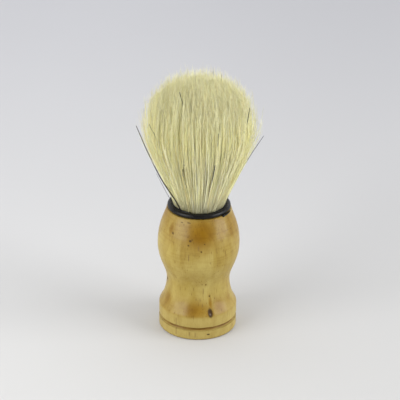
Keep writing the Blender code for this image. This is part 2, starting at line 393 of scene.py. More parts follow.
def collar_outline():
    """A rolled bead, a valley, a low inner lip, and the sleeve down in the socket."""
    low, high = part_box("collar")
    wood_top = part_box("handle")[1].z
    bead_radius = high.x
    known = cad_outline("collar")
    bore = known[:, 0].min()
    half_width = (bead_radius - BEAD_INNER) / 2
    crown_height = (high.z - wood_top) / 2
    centre = (BEAD_INNER + half_width, wood_top + crown_height)
    lip_base = high.z - LIP_HEIGHT - LIP_DEPTH
    sleeve = known[known[:, 1] < low.z + OUTLINE_MERGE, 0].max()
    heights = np.linspace(wood_top, low.z, SLEEVE_ROWS)
    return np.concatenate([
        arc(centre, (half_width, crown_height), 150, -84, 26),
        np.stack([np.full(SLEEVE_ROWS, sleeve), heights], -1),
        np.stack([np.full(SLEEVE_ROWS, bore), heights[::-1]], -1),
        arc((bore + LIP_WIDTH / 2, lip_base), (LIP_WIDTH / 2, LIP_HEIGHT), 180, 20, 12),
    ])


def wobble_collar(azimuth, radius, height):
    """Uneven moulding: the bead wanders a little, and its inner lip stands higher at the left."""
    low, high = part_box("collar")
    wood_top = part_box("handle")[1].z
    above = smoothstep(wood_top, high.z, height)
    swell = ripple(azimuth, 0.0, BEAD_WAVES)
    inner = smoothstep(BEAD_INNER, BEAD_INNER - 0.2 * MM, radius)
    left = smoothstep(-168.0, -150.0, azimuth) * smoothstep(-16.0, -21.0, azimuth)
    right = smoothstep(25.0, 45.0, azimuth) * smoothstep(170.0, 150.0, azimuth)
    lift = inner * above * (0.50 * left + 0.25 * right) * MM
    return radius + swell * above * (1 - inner), height + 0.6 * swell * above + lift


def make_collar(finish):
    collar = turned("ring_collar", collar_outline(), COLLAR_STEPS, True, wobble_collar)
    return dress(collar, finish, "collar")


def make_smear(finish):
    """Surplus black adhesive drawn out to a point on the wood below the bead, at the right."""
    side, _, top = handle_side()
    rows = 9
    share = np.linspace(0.0, 1.0, SMEAR_STEPS)[None, :]
    lift = np.linspace(-1.0, 1.0, rows)[:, None]
    azimuth = SMEAR_START + (SMEAR_END - SMEAR_START) * share
    half = SMEAR_HALF_HEIGHT * (1.0 - share**1.4) * smoothstep(-0.05, 0.10, share)
    half = half * (1.0 + 0.10 * np.sin(19.0 * share)) + 0.01 * MM
    middle = top - SMEAR_DROP * (1.0 + share)
    height = middle + lift * half
    thickness = SMEAR_THICKNESS * np.sqrt(1.0 - lift**2) * np.sqrt(half / half.max())
    azimuth = np.broadcast_to(azimuth, height.shape)
    front = around(azimuth, side[-1, 0] + thickness - 0.05 * MM, height).reshape(-1, 3)
    back = around(azimuth, side[-1, 0] - 0.35 * MM, height).reshape(-1, 3)
    count = rows * SMEAR_STEPS
    index = np.arange(count).reshape(rows, SMEAR_STEPS)
    faces = [strip(index), strip(index + count)[:, ::-1]]
    rim = np.concatenate([index[0, :-1], index[:-1, -1], index[-1, :0:-1], index[:0:-1, 0]])
    after = np.roll(rim, -1)
    faces.append(np.stack([rim, rim + count, after + count, after], -1))
    smear = mesh_object("glue_smear", np.concatenate([front, back]), np.concatenate(faces))
    outward(smear.data)
    return dress(smear, finish, None)


def strip(index):
    """Quads between neighbouring rows and columns of a grid of vertex numbers."""
    return np.stack([index[:-1, :-1], index[:-1, 1:], index[1:, 1:], index[1:, :-1]], -1).reshape(-1, 4)


def outward(mesh):
    """Weld a closed mesh's pinched corners and turn its faces outwards."""
    work = bmesh.new()
    work.from_mesh(mesh)
    bmesh.ops.remove_doubles(work, verts=work.verts, dist=CORNER_WELD)
    bmesh.ops.recalc_face_normals(work, faces=work.faces)
    work.to_mesh(mesh)
    work.free()


# ---------------------------------------------------------------- bristles

BRISTLES = 8000
SIDES = 3
SECTIONS = 12
CLUMPS = 900
KNOT_LEAN = (-0.2, 0.0)  # how far the whole bundle leans at its top, in millimetres
CLUMP_PULL = 0.12  # towards a clump's middle, at the tips
WEAVE = 0.09 * MM  # how far bristles wave to either side
WAVE_COUNT = (1.5, 3.5)  # waves along a bristle's free length, least and most
IN_OUT = (0.28, 0.07)  # how far tips stray in and out, in shares of their place's radius
SPLAY = 0.004  # how much wider the tips open than the bundle's outline
ROOT_HEIGHT = 40.3 * MM
FREE_HEIGHT = 50.0 * MM  # bristles bend from here up
# How far past the dome the tips stand, in millimetres: its mean and spread, what a clump adds,
# what the long ones add, what the outermost ones add, and by how much those vary
TIP_PAST_DOME = (-4.8, 0.9)
CLUMP_LENGTH = 0.2
LONG_SHARE = 0.25  # of the bristles are long ones, which blur the dome's edge
LONG_REACH = 3.6
OUTER_LENGTH = (2.4, 1.7)
# How far tips lean, in millimetres: within the bundle, more at its outside, and by clump
LOOSE = (0.60, 0.9)
CLUMP_LEAN = 0.10
ASTRAY = (0.04, 1.5)  # the share of bristles that lean further, and how much further
BOW = 0.14  # how far bristles bow at mid length, in millimetres
# Shaft radius at the root, a little past mid length and at the tip
SHAFT = (0.095 * MM, 0.075 * MM, 0.035 * MM)
FLAG = (0.026 * MM, 0.019 * MM, 0.009 * MM)  # one of the fine ends a tip splits into
FLAGS_EACH = 2
FLAG_LENGTH = 3.2 * MM
CREAM = (0.99, 0.98, 0.57)
STRAW = (0.975, 0.955, 0.46)
GOLDEN = (0.85, 0.76, 0.34)
BROWN = (0.22, 0.15, 0.07)
BLACK = (0.012, 0.009, 0.006)
COLOUR_SHARES = (0.54, 0.31, 0.146, 0.004)  # of cream, straw, golden and brown bristles
TINT_SPREAD = 0.12  # of brightness from bristle to bristle
# These four multiply a bristle's colour. The two at the root are painted shade: greyer and darker
# towards the collar, and random bristles darker just above it.
LOW_TINT = np.array([1.02, 1.02, 1.15])
ROOT_PAINTED_SHADE = np.array([0.68, 0.68, 0.76])
ROOT_GAP_PAINTED_SHADE = np.array([0.50, 0.48, 0.42])
TIP_TINT = np.array([0.96, 0.96, 1.12])
DARK_SHAFT = (0.19 * MM, 0.19 * MM, 0.12 * MM)
# Dark bristles in the bundle: thickness against DARK_SHAFT, azimuth at the low and the high end
# of the stretch that shows, the heights of those ends, the upper one being the tip, and the share
# of the bundle's radius
DARK_BRISTLES = (
    (1.2, -29.0, -34.0, 98.7 * MM, 102.4 * MM, 0.615),
    (0.6, 90.0, 90.0, 103.4 * MM, 105.0 * MM, 0.345),
    (1.0, 57.5, 60.5, 91.0 * MM, 96.0 * MM, 0.925),
    (0.4, -80.0, -80.0, 90.5 * MM, 92.5 * MM, 0.95),
    (0.7, -46.5, -56.5, 85.9 * MM, 89.9 * MM, 1.0),
    (0.8, 17.0, 17.5, 86.0 * MM, 90.4 * MM, 1.0),
    (1.4, 16.0, 15.8, 69.3 * MM, 77.0 * MM, 1.0),
    (1.15, -19.0, -18.0, 71.5 * MM, 74.8 * MM, 1.0),
    (1.0, -128.0, -120.0, 70.0 * MM, 80.0 * MM, 1.0),
    (0.9, 157.0, 150.0, 84.0 * MM, 93.0 * MM, 0.97),
    (0.9, 112.0, 118.0, 62.0 * MM, 71.0 * MM, 1.0),
)
# Dark bristles that stand away from the bundle: thickness against the others, and points from
# root to tip in millimetres
STRAYS = (
    (1.25, ((-4.6, -6.6, 44.0), (-7.6, -7.3, 53.7), (-14.1, -6.6, 64.5), (-19.0, -6.5, 74.8),
            (-23.8, -6.5, 86.6))),
    (0.5, ((-6.6, -3.6, 44.0), (-9.3, -4.5, 52.2), (-13.0, -5.0, 59.7), (-16.3, -5.3, 66.8))),
    (0.8, ((6.8, -0.4, 44.0), (9.9, -1.0, 52.5), (15.9, -2.0, 67.1), (19.7, -2.0, 74.2),
           (23.9, -2.0, 81.3))),
)


def knot_outline():
    """The bundle's side up to its widest, and its dome from there to the top."""
    known = cad_outline("bristle_knot")
    widest = np.argmax(known[:, 0])
    return known[:widest + 1], known[widest:]


def bundle_radius(height):
    """Radius of the outermost bristles at a height. Above the dome's rim they go straight up."""
    side, _ = knot_outline()
    return hermite(np.minimum(height, side[-1, 1]), side[:, 1], side[:, 0])


def dome_height(share):
    """Height of the tips of bristles that stand at a share of the bundle's radius."""
    side, dome = knot_outline()
    return np.interp(-share * side[-1, 0], -dome[:, 0], dome[:, 1])


def disc(share, azimuth):
    """Points of the unit disc, as the brush's plan, from shares of its radius and azimuths."""
    return np.stack([share * np.sin(azimuth), -share * np.cos(azimuth)], -1)


def tubes(paths, radii, twist):
    """Closed tubes round many paths at once: vertices, quads and end triangles, by tube."""
    count, sections, _ = paths.shape
    along = np.gradient(paths, axis=1)
    along /= np.linalg.norm(along, axis=-1, keepdims=True)
    aside = np.stack([np.cos(twist), np.sin(twist), 0.0 * twist], -1)[:, None, :]
    first = np.cross(along, aside)
    first /= np.linalg.norm(first, axis=-1, keepdims=True)
    second = np.cross(along, first)
    angles = np.linspace(0.0, 2.0 * np.pi, SIDES, endpoint=False)[:, None]
    ring = first[:, :, None] * np.cos(angles) + second[:, :, None] * np.sin(angles)
    vertices = paths[:, :, None] + ring * radii[:, :, None, None]
    index = np.arange(sections * SIDES).reshape(sections, SIDES)
    after = np.roll(index, -1, axis=1)
    quads = np.stack([index[:-1], after[:-1], after[1:], index[1:]], -1).reshape(-1, 4)
    ends = np.array([index[0, ::-1], index[-1]])
    step = np.arange(count)[:, None, None] * sections * SIDES
    return vertices.reshape(count, -1, 3), quads[None] + step, ends[None] + step


def bristle_paths(random):
    """Centre lines of the bristles: bristle, section, xyz."""
    number = np.arange(BRISTLES)
    share = np.sqrt((number + 0.5) / BRISTLES)
    azimuth = number * GOLDEN_ANGLE
    plan = disc(share, azimuth)
    clump_number = np.arange(CLUMPS)
    clump_share = np.sqrt((clump_number + 0.5) / CLUMPS)
    clump_plan = disc(clump_share, clump_number * GOLDEN_ANGLE + 1.0)
    clump_plan = clump_plan + random.normal(0.0, 0.02, clump_plan.shape)
    gaps = np.linalg.norm(plan[:, None] - clump_plan[None], axis=-1)
    clump = np.argmin(gaps, axis=1)

    length = random.normal(*TIP_PAST_DOME, BRISTLES)
    length = length + random.normal(0.0, CLUMP_LENGTH, CLUMPS)[clump]
    length = length + random.uniform(0.0, LONG_REACH, BRISTLES) * (random.random(BRISTLES) < LONG_SHARE)
    uneven = np.abs(random.normal(0.0, OUTER_LENGTH[1], BRISTLES))
    length = length + OUTER_LENGTH[0] * share**5 - uneven * share**6
    reach = 1.0 + random.uniform(-IN_OUT[0], IN_OUT[1], BRISTLES)
    tips = dome_height(np.minimum(share * reach, 1.0)) + length * MM
    t = np.linspace(0.0, 1.0, SECTIONS)[None, :]
    height = ROOT_HEIGHT + (tips[:, None] - ROOT_HEIGHT) * t
    free = np.clip((height - FREE_HEIGHT) / (tips[:, None] - FREE_HEIGHT), 0.0, 1.0)
    pull = CLUMP_PULL * (free**1.5)[..., None]
    spread = ((bundle_radius(height) - SHAFT[0]) * (1.0 + SPLAY * free))[..., None]
    spread = spread * (1.0 + (reach[:, None] - 1.0) * free**2.5)[..., None]
    flat = spread * (plan[:, None] + pull * (clump_plan[clump] - plan)[:, None])

    loose = (LOOSE[0] + LOOSE[1] * share**12)[:, None]
    lean = random.normal(0.0, 1.0, (BRISTLES, 2)) * loose
    lean = lean + random.normal(0.0, CLUMP_LEAN, (CLUMPS, 2))[clump]
    astray = random.random(BRISTLES) < ASTRAY[0]
    lean = lean + random.normal(0.0, ASTRAY[1], (BRISTLES, 2)) * astray[:, None] + KNOT_LEAN
    bow = random.normal(0.0, BOW, (BRISTLES, 2))
    flat = flat + lean[:, None] * MM * (free**1.6)[..., None]
    flat = flat + bow[:, None] * MM * np.sin(np.pi * free)[..., None]
    waves = random.uniform(*WAVE_COUNT, (BRISTLES, 1)) * free + random.random((BRISTLES, 1))
    weave = random.normal(0.0, WEAVE, (BRISTLES, 2))
    flat = flat + weave[:, None] * (np.sin(2.0 * np.pi * waves) * np.sqrt(free))[..., None]
    return np.concatenate([flat, height[..., None]], -1)


def flag_paths(random, paths):
    """Centre lines of the fine ends that each tip splits into."""
    tip = np.repeat(paths[:, -1], FLAGS_EACH, 0)
    direction = np.repeat(paths[:, -1] - paths[:, -2], FLAGS_EACH, 0)
    direction /= np.linalg.norm(direction, axis=-1, keepdims=True)
    splay = random.normal(0.0, 0.22, tip.shape)
    reach = random.uniform(0.5, 1.0, (len(tip), 1)) * FLAG_LENGTH
    start = tip - direction * 0.5 * MM
    middle = tip + (direction + 0.5 * splay) * reach * 0.5
    end = tip + (direction + 1.2 * splay) * reach
    return np.stack([start, middle, end], 1)


def bristle_tints(random, paths):
    """Each bristle's colour, by section: paler at the tip, and greyer and darker at the root, which is
    painted shade.
    """
    base = np.array([CREAM, STRAW, GOLDEN, BROWN])
    kind = random.choice(4, BRISTLES, p=COLOUR_SHARES)
    tint = base[kind] * random.normal(1.0, TINT_SPREAD, (BRISTLES, 1))
    # painted shade: the bundle greyer and darker towards its root
    root = smoothstep(66.0 * MM, 50.0 * MM, paths[..., 2:]) ** 1.5
    tip = smoothstep(0.80, 1.0, np.linspace(0.0, 1.0, SECTIONS))[None, :, None]
    low = smoothstep(88.0 * MM, 72.0 * MM, paths[..., 2:])
    tint = tint[:, None] * (1.0 + low * (LOW_TINT - 1.0)) * (1.0 + root * (ROOT_PAINTED_SHADE - 1.0))
    # painted shade: random bristles darker just above the collar, standing for the shaded gaps between them
    shaded = smoothstep(58.5 * MM, 52.0 * MM, paths[..., 2:]) * random.random((BRISTLES, 1, 1))
    tint = tint * (1.0 + shaded * (ROOT_GAP_PAINTED_SHADE - 1.0))
    return np.clip(tint * (1.0 + (TIP_TINT - 1.0) * tip), 0.0, 1.0)


def bristle_piece(name, finish, strands):
    """One mesh from groups of (paths, radii, twists, tints), with a cell of the bake for each tube."""
    vertices, quads, ends, tints, cells = [], [], [], [], []
    offset = 0
    total = sum(len(paths) for paths, _, _, _ in strands)
    across_grid = math.ceil(math.sqrt(total))
    done = 0
    for paths, radii, twist, tint in strands:
        points, sides, caps = tubes(paths, radii, twist)
        vertices.append(points.reshape(-1, 3))
        quads.append(sides.reshape(-1, 4) + offset)
        ends.append(caps.reshape(-1, 3) + offset)
        tints.append(np.repeat(tint, SIDES, axis=1).reshape(-1, 3))
        number = np.arange(done, done + len(paths))
        cell = np.stack([number % across_grid, number // across_grid], -1)[:, None, None]
        place = np.stack(np.broadcast_arrays(
            np.linspace(0.15, 0.85, SIDES)[None, :],
            np.linspace(0.1, 0.9, paths.shape[1])[:, None]), -1)
        cells.append(((cell + place[None]) / across_grid).reshape(-1, 2))
        offset += points.shape[0] * points.shape[1]
        done += len(paths)
    piece = mesh_object(name, np.concatenate(vertices), np.concatenate(quads), np.concatenate(ends))
    mesh = piece.data
    corner = np.empty(len(mesh.loops), np.int32)
    mesh.loops.foreach_get("vertex_index", corner)
    layer = mesh.uv_layers.new(name=BAKE_LAYER)
    layer.data.foreach_set("uv", np.concatenate(cells)[corner].astype(np.float32).ravel())
    colours = np.concatenate(tints)
    colours = np.concatenate([colours, np.ones((len(colours), 1))], -1)
    attribute = mesh.attributes.new("tint", "FLOAT_COLOR", "POINT")
    attribute.data.foreach_set("color", colours.astype(np.float32).ravel())
    return dress(piece, finish, "bristle_knot")


def shaft_radii(shaft, count, sections):
    t = np.linspace(0.0, 1.0, sections)
    radii = np.interp(t, (0.0, 0.55, 1.0), shaft)
    return np.broadcast_to(radii, (count, sections))


def make_bristles(finish):
    """The pale bristles, as four quarters of the bundle."""
    random = np.random.default_rng(SEED)
    paths = bristle_paths(random)
    tints = bristle_tints(random, paths)
    thickness = random.normal(1.0, 0.10, (BRISTLES, 1))
    radii = shaft_radii(SHAFT, BRISTLES, SECTIONS) * thickness
    twist = random.uniform(0.0, np.pi, BRISTLES)
    flags = flag_paths(random, paths)
    flag_tints = np.repeat(tints[:, -1:], FLAGS_EACH, 0).repeat(3, 1)
    flag_radii = np.broadcast_to(np.array(FLAG), (len(flags), 3))
    flag_twist = random.uniform(0.0, np.pi, len(flags))
    root_azimuth = np.degrees(np.arctan2(paths[:, 0, 0], -paths[:, 0, 1]))
    quarter = np.floor(((root_azimuth + 45.0) % 360.0) / 90.0).astype(int)
    for number, side in enumerate(("front", "right", "back", "left")):
        own = quarter == number
        own_flags = np.repeat(own, FLAGS_EACH)
        bristle_piece(f"bristles_{side}", finish, [
            (paths[own], radii[own], twist[own], tints[own]),
            (flags[own_flags], flag_radii[own_flags], flag_twist[own_flags], flag_tints[own_flags]),
        ])


def dark_paths():
    """Centre lines of the dark bristles in the bundle's face and then of the strays, and the
    share of its thickness that each has along its line: they are thin where they lie hidden."""
    t = np.linspace(0.0, 1.0, 3 * SECTIONS)
    paths, fullness = [], []
    for _, low_azimuth, high_azimuth, low, high, share in DARK_BRISTLES:
        height = ROOT_HEIGHT + (high - ROOT_HEIGHT) * t
        emerging = smoothstep(low - 9.0 * MM, low + 1.0 * MM, height)
        azimuth = low_azimuth + (high_azimuth - low_azimuth) * smoothstep(low, high, height)
        radius = bundle_radius(height) * share * (0.95 + 0.095 * emerging)
        paths.append(around(azimuth, radius - SHAFT[0], height))
        fullness.append(0.15 + 0.85 * smoothstep(low - 1.5 * MM, low + 0.5 * MM, height))
    for _, points in STRAYS:
        points = np.array(points) * MM
        height = points[0, 2] + (points[-1, 2] - points[0, 2]) * t
        paths.append(np.stack([hermite(height, points[:, 2], points[:, axis]) for axis in range(3)], -1))
        fullness.append(np.ones_like(t))
    return np.array(paths), np.array(fullness)


def make_dark_bristles(finish):
    paths, fullness = dark_paths()
    count = len(paths)
    thickness = np.array([row[0] for row in DARK_BRISTLES + STRAYS])
    radii = shaft_radii(DARK_SHAFT, count, paths.shape[1]) * thickness[:, None] * fullness
    tints = np.broadcast_to(np.array(BLACK), paths.shape)
    return bristle_piece("dark_bristles", finish, [(paths, radii, np.zeros(count), tints)])


# ---------------------------------------------------------------- shader helpers

def add(tree, kind, inputs=None, **settings):
    """Add a shader node. Inputs that are sockets are linked; the others are set."""
    node = tree.nodes.new("ShaderNode" + kind)
    for key, value in settings.items():
        setattr(node, key, value)
    for key, value in (inputs or {}).items():
        if isinstance(value, bpy.types.NodeSocket):
            tree.links.new(value, node.inputs[key])
        else:
            node.inputs[key].default_value = value
    return node


def sums(tree, operation, *values):
    """A Math node's result; the values are sockets or numbers."""
    return add(tree, "Math", dict(enumerate(values)), operation=operation).outputs[0]


def blend(tree, factor, first, second, kind="MIX"):
    """A colour mixed from two, each a socket or (r, g, b)."""
    colours = [value if isinstance(value, bpy.types.NodeSocket) else (*value, 1.0)
               for value in (first, second)]
    node = add(tree, "Mix", {0: factor, 6: colours[0], 7: colours[1]}, data_type="RGBA", blend_type=kind)
    return node.outputs[2]


def remap(tree, value, low, high, to_low=0.0, to_high=1.0, smooth=True):
    """A value from one range to another, held at the ends."""
    kind = "SMOOTHSTEP" if smooth else "LINEAR"
    node = add(tree, "MapRange", {"Value": value, "From Min": low, "From Max": high,
                                  "To Min": to_low, "To Max": to_high}, interpolation_type=kind)
    return node.outputs[0]


def millimetres(tree, scale=(1.0, 1.0, 1.0)):
    """Object coordinates in millimetres, scaled per axis."""
    place = add(tree, "TexCoord").outputs["Object"]
    factors = tuple(1000.0 * value for value in scale)
    return add(tree, "VectorMath", {0: place, 1: factors}, operation="MULTIPLY").outputs[0]


def noise(tree, vector, scale, detail=2.0, roughness=0.5, distortion=0.0):
    inputs = {"Vector": vector, "Scale": scale, "Detail": detail, "Roughness": roughness,
              "Distortion": distortion}
    return add(tree, "TexNoise", inputs).outputs[0]


def bump(tree, height, distance, strength=1.0):
    return add(tree, "Bump", {"Height": height, "Distance": distance, "Strength": strength}).outputs[0]


def material(name):
    """A new material, its node tree and its Principled shader's inputs."""
    made = bpy.data.materials.new(name)
    made.use_nodes = True
    shader = made.node_tree.nodes["Principled BSDF"]
    return made, made.node_tree, shader.inputs


def connect(tree, inputs, values):
    """Set or link inputs of a shader by name."""
    for key, value in values.items():
        if isinstance(value, bpy.types.NodeSocket):
            tree.links.new(value, inputs[key])
        else:
            inputs[key].default_value = value


# ---------------------------------------------------------------- materials

RING_CENTRE = (9.0, 27.0)  # the tree's heart, beside the brush, in millimetres
RING_SPACING = 2.8
WOOD_PALE = (0.465, 0.37, 0.118)
WOOD_MID = (0.395, 0.310, 0.080)
WOOD_DARK = (0.31, 0.20, 0.025)
WOOD_RAW = (0.405, 0.315, 0.100)
MARK_DARK = (0.035, 0.018, 0.008)
CRACK_DARK = (0.16, 0.085, 0.03)
SPECK_GREY = (0.20, 0.155, 0.12)
# These multiply the wood's colour. The groove's two and the foot's are painted shade, in the groove
# and along the bottom edge; the stain one also carries the painted shade of two reflection gaps.
RING_TINT = (0.60, 0.47, 0.36)
FIBRE_TINT = (0.70, 0.60, 0.50)
MOTTLE_TINT = (0.78, 0.70, 0.55)
PORE_TINT = (0.42, 0.30, 0.20)
TURNING_TINT = (0.72, 0.62, 0.46)
STAIN_AND_GAP_SHADE_TINT = (0.58, 0.38, 0.03)
GROOVE_PAINTED_SHADE = (0.64, 0.50, 0.33)
GROOVE_CORE_PAINTED_SHADE = (0.50, 0.38, 0.24)
FOOT_PAINTED_SHADE = (0.45, 0.33, 0.20)
# Heights in millimetres between which a feature of the wood sets in, from none to full
RAW_BELOW = (10.5, 8.9)
GLOSS_ABOVE = (9.6, 10.9)
TURNING_ABOVE = (24.0, 38.0)
POOLED_ABOVE = (37.0, 46.0)
POOLED_BELOW = (17.0, 12.0)
# where the groove's painted shade sets in, from below and from above, and the same for its darker core
GROOVE_LOW, GROOVE_HIGH = (3.9, 4.3), (5.55, 5.15)
CORE_LOW, CORE_HIGH = (4.2, 4.5), (4.95, 4.65)
# where the painted shade along the foot's bottom edge sets in
FOOT_SHADE_BELOW = (0.8, 0.15)
COAT_RAW, COAT_GLOSSY = 0.05, 0.22  # coat of the raw band, and what the glossy part adds


def wood_material():
    made, tree, inputs = material("lacquered_wood_grain")
    place = millimetres(tree)
    parts = add(tree, "SeparateXYZ", {0: place}).outputs
    marks = add(tree, "Attribute", attribute_name="marks").outputs
    mark = add(tree, "SeparateColor", {0: marks["Color"]}).outputs

    wander = noise(tree, millimetres(tree, (1.0, 1.0, 0.35)), 0.09, 3.0)
    wander = sums(tree, "MULTIPLY", sums(tree, "SUBTRACT", wander, 0.5), 9.0)
    east = sums(tree, "SUBTRACT", parts[0], RING_CENTRE[0])
    north = sums(tree, "SUBTRACT", parts[1], RING_CENTRE[1])
    squares = sums(tree, "ADD", sums(tree, "POWER", east, 2.0), sums(tree, "POWER", north, 2.0))
    reach = sums(tree, "SQRT", squares)
    turn = sums(tree, "DIVIDE", sums(tree, "ADD", reach, wander), RING_SPACING)
    ring = sums(tree, "FRACT", turn)
    late = sums(tree, "MULTIPLY", remap(tree, ring, 0.35, 0.92), remap(tree, ring, 1.0, 0.93))

    fibre = noise(tree, millimetres(tree, (1.0, 1.0, 0.06)), 2.6, 4.0, 0.65)
    pores = noise(tree, millimetres(tree, (1.0, 1.0, 0.11)), 2.1, 2.0, 0.5)
    pores = remap(tree, pores, 0.635, 0.71)
    blotch = noise(tree, millimetres(tree, (1.0, 1.0, 0.45)), 0.11, 3.0, 0.55, 0.6)

    colour = blend(tree, remap(tree, blotch, 0.30, 0.70), WOOD_DARK, WOOD_PALE)
    colour = blend(tree, 0.45, colour, WOOD_MID)
    raw = remap(tree, parts[2], *RAW_BELOW)
    colour = blend(tree, sums(tree, "MULTIPLY", raw, 0.8), colour, WOOD_RAW)
    colour = blend(tree, sums(tree, "MULTIPLY", late, 0.17), colour, RING_TINT, "MULTIPLY")
    colour = blend(tree, remap(tree, fibre, 0.35, 0.75, 0.0, 0.30), colour, FIBRE_TINT, "MULTIPLY")
    mottle = noise(tree, millimetres(tree, (1.0, 1.0, 0.7)), 0.42, 3.0, 0.6)
    colour = blend(tree, remap(tree, mottle, 0.45, 0.70, 0.0, 0.35), colour, MOTTLE_TINT, "MULTIPLY")
    colour = blend(tree, sums(tree, "MULTIPLY", pores, 0.50), colour, PORE_TINT, "MULTIPLY")
    turning = noise(tree, millimetres(tree, (0.10, 0.10, 1.0)), 1.1, 2.0)
    lines = remap(tree, turning, 0.48, 0.64, 0.0, 0.30)
    lines = sums(tree, "MULTIPLY", lines, remap(tree, parts[2], *TURNING_ABOVE, 0.3))
    colour = blend(tree, lines, colour, TURNING_TINT, "MULTIPLY")
    under_rim = remap(tree, parts[2], *POOLED_ABOVE, 0.0, 0.66)
    on_flare = remap(tree, parts[2], *POOLED_BELOW, 0.0, 0.42)
    uneven = noise(tree, millimetres(tree, (1.0, 1.0, 0.6)), 0.16, 2.0)
    uneven = remap(tree, uneven, 0.3, 0.65, 0.45, 1.0)
    pooled = sums(tree, "MULTIPLY", sums(tree, "ADD", under_rim, on_flare), uneven)
    # stains, and the painted shade of two reflection gaps that the marks carry in blue
    deep = sums(tree, "MAXIMUM", pooled, mark[2])
    deep = sums(tree, "MULTIPLY", deep, sums(tree, "SUBTRACT", 1.0, raw))
    colour = blend(tree, deep, colour, STAIN_AND_GAP_SHADE_TINT, "MULTIPLY")
    # painted shade in the groove, darkest and patchy in its lower middle
    groove = remap(tree, parts[2], *GROOVE_LOW)
    groove = sums(tree, "MULTIPLY", groove, remap(tree, parts[2], *GROOVE_HIGH))
    colour = blend(tree, sums(tree, "MULTIPLY", groove, 0.85), colour, GROOVE_PAINTED_SHADE, "MULTIPLY")
    patchy = noise(tree, millimetres(tree, (0.3, 0.3, 0.1)), 0.8, 1.0)
    patchy = remap(tree, patchy, 0.35, 0.60, 0.35, 0.95)
    core = remap(tree, parts[2], *CORE_LOW)
    core = sums(tree, "MULTIPLY", core, remap(tree, parts[2], *CORE_HIGH))
    colour = blend(tree, sums(tree, "MULTIPLY", core, patchy), colour, GROOVE_CORE_PAINTED_SHADE, "MULTIPLY")
    # painted shade along the bottom edge, where the foot meets the floor
    foot = remap(tree, parts[2], *FOOT_SHADE_BELOW, 0.0, 0.45)
    colour = blend(tree, foot, colour, FOOT_PAINTED_SHADE, "MULTIPLY")
    colour = blend(tree, sums(tree, "MULTIPLY", mark[1], 0.75), colour, CRACK_DARK)
    colour = blend(tree, sums(tree, "MULTIPLY", mark[0], 0.93), colour, MARK_DARK)
    colour = blend(tree, sums(tree, "MULTIPLY", marks["Alpha"], 0.9), colour, SPECK_GREY)

    clear = sums(tree, "SUBTRACT", 1.0, mark[0])
    glossy = remap(tree, parts[2], *GLOSS_ABOVE)
    coat = sums(tree, "ADD", COAT_RAW, sums(tree, "MULTIPLY", glossy, COAT_GLOSSY))
    worn = noise(tree, place, 0.6, 3.0)
    rough = sums(tree, "ADD", 0.42, remap(tree, worn, 0.3, 0.7, -0.05, 0.08))
    relief = sums(tree, "SUBTRACT", fibre, sums(tree, "MULTIPLY", pores, 1.2))
    skin = noise(tree, millimetres(tree, (1.0, 1.0, 0.5)), 0.5, 2.0)
    skin = sums(tree, "ADD", skin, sums(tree, "MULTIPLY", turning, 0.12))
    connect(tree, inputs, {
        "Base Color": colour,
        "Roughness": rough,
        "Specular IOR Level": 0.12,
        "Coat Weight": sums(tree, "MULTIPLY", coat, clear),
        "Coat Roughness": 0.18,
        "Coat IOR": 1.45,
        "Normal": bump(tree, relief, 0.00004, 0.35),
        "Coat Normal": bump(tree, skin, 0.0002, 0.25),
    })
    return made


def black_material():
    made, tree, inputs = material("collar_black_moulded")
    place = millimetres(tree)
    grain = noise(tree, place, 3.0, 4.0, 0.6)
    patches = noise(tree, place, 0.45, 3.0)
    dust = remap(tree, noise(tree, place, 5.0, 2.0), 0.70, 0.78)
    colour = blend(tree, remap(tree, patches, 0.35, 0.7), (0.0030, 0.0026, 0.0026), (0.007, 0.0062, 0.0060))
    colour = blend(tree, sums(tree, "MULTIPLY", dust, 0.25), colour, (0.20, 0.18, 0.15))
    connect(tree, inputs, {
        "Base Color": colour,
        "Roughness": remap(tree, patches, 0.3, 0.7, 0.24, 0.36),
        "Specular IOR Level": 0.2,
        "Normal": bump(tree, grain, 0.00006, 0.5),
    })
    return made


def bristle_material():
    made, tree, inputs = material("boar_bristle")
    tint = add(tree, "Attribute", attribute_name="tint").outputs["Color"]
    streak = noise(tree, millimetres(tree, (1.0, 1.0, 0.08)), 3.4, 2.0, 0.6)
    fine = noise(tree, millimetres(tree, (1.0, 1.0, 0.5)), 4.0, 2.0)
    colour = blend(tree, remap(tree, streak, 0.38, 0.60, 0.30, 0.0), tint, (0.77, 0.65, 0.36), "MULTIPLY")
    colour = blend(tree, remap(tree, fine, 0.4, 0.7, 0.0, 0.10), colour, (0.85, 0.80, 0.70), "MULTIPLY")
    connect(tree, inputs, {
        "Base Color": colour,
        "Roughness": remap(tree, streak, 0.3, 0.7, 0.38, 0.52),
        "Specular IOR Level": 0.42,
        "Sheen Weight": 0.15,
        "Sheen Roughness": 0.4,
        "Normal": bump(tree, fine, 0.00001, 0.4),
    })
    return made


def glue_material():
    made, tree, inputs = material("amber_glue")
    clouds = noise(tree, millimetres(tree), 0.7, 4.0)
    bubbles = noise(tree, millimetres(tree), 2.5, 1.0)
    connect(tree, inputs, {
        "Base Color": blend(tree, remap(tree, clouds, 0.3, 0.7), (0.30, 0.16, 0.045), (0.52, 0.33, 0.12)),
        "Roughness": remap(tree, clouds, 0.3, 0.7, 0.20, 0.36),
        "Normal": bump(tree, bubbles, 0.0002, 0.4),
    })
    return made


